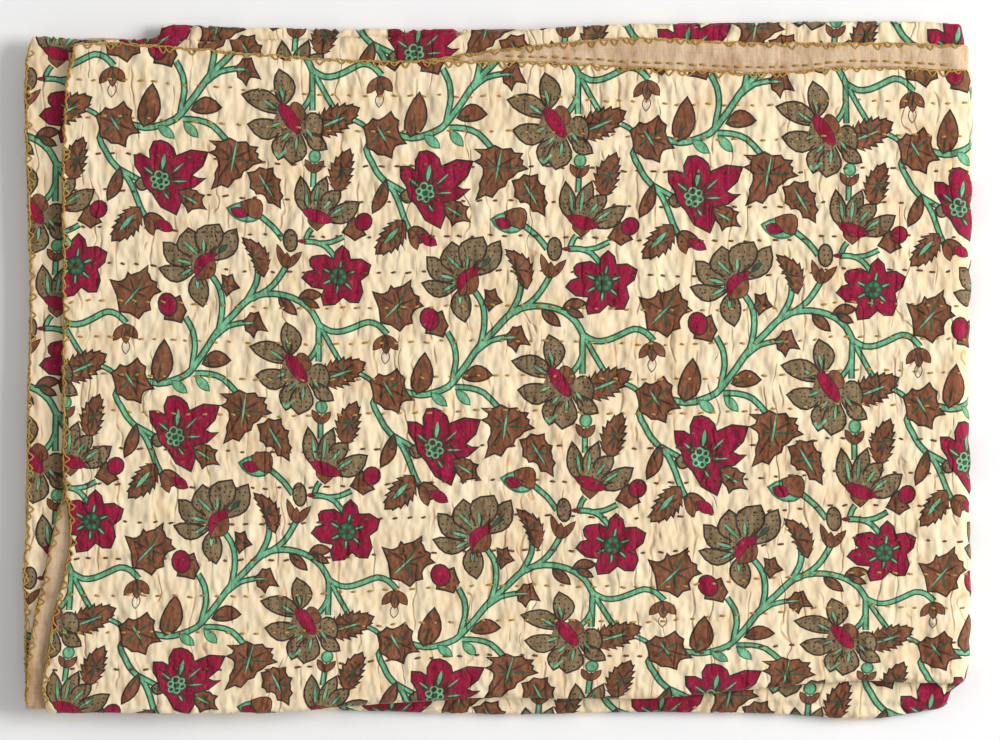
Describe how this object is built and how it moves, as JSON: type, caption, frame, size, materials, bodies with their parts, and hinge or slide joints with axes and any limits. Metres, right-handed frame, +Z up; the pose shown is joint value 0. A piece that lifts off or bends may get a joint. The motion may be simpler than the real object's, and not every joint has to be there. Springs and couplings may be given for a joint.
{
  "type": "folded kantha quilt",
  "caption": "Thin hand-stitched cotton quilt with a trailing flower print, folded into a flat rectangular packet that lies on a surface.",
  "frame": {"origin": "on the floor, under the middle of the folded packet's box", "axes": "+X towards the right-hand fold, along the longest side; +Y towards the back edge, where the hems of the top layers lie; +Z up"},
  "size_m": [0.6668, 0.491, 0.0261],
  "materials": {
    "printed_cotton": "matt washed cotton, flower and leaf print on cream",
    "plain_cotton": "matt washed cotton, plain tan",
    "brown_thread": "matt cotton running stitches",
    "gold_thread": "slightly glossy cotton edge stitching"
  },
  "bodies": {
    "root": {"face_cloth": "printed_cotton", "backing_cloth": "plain_cotton"}
  },
  "joints": []
}
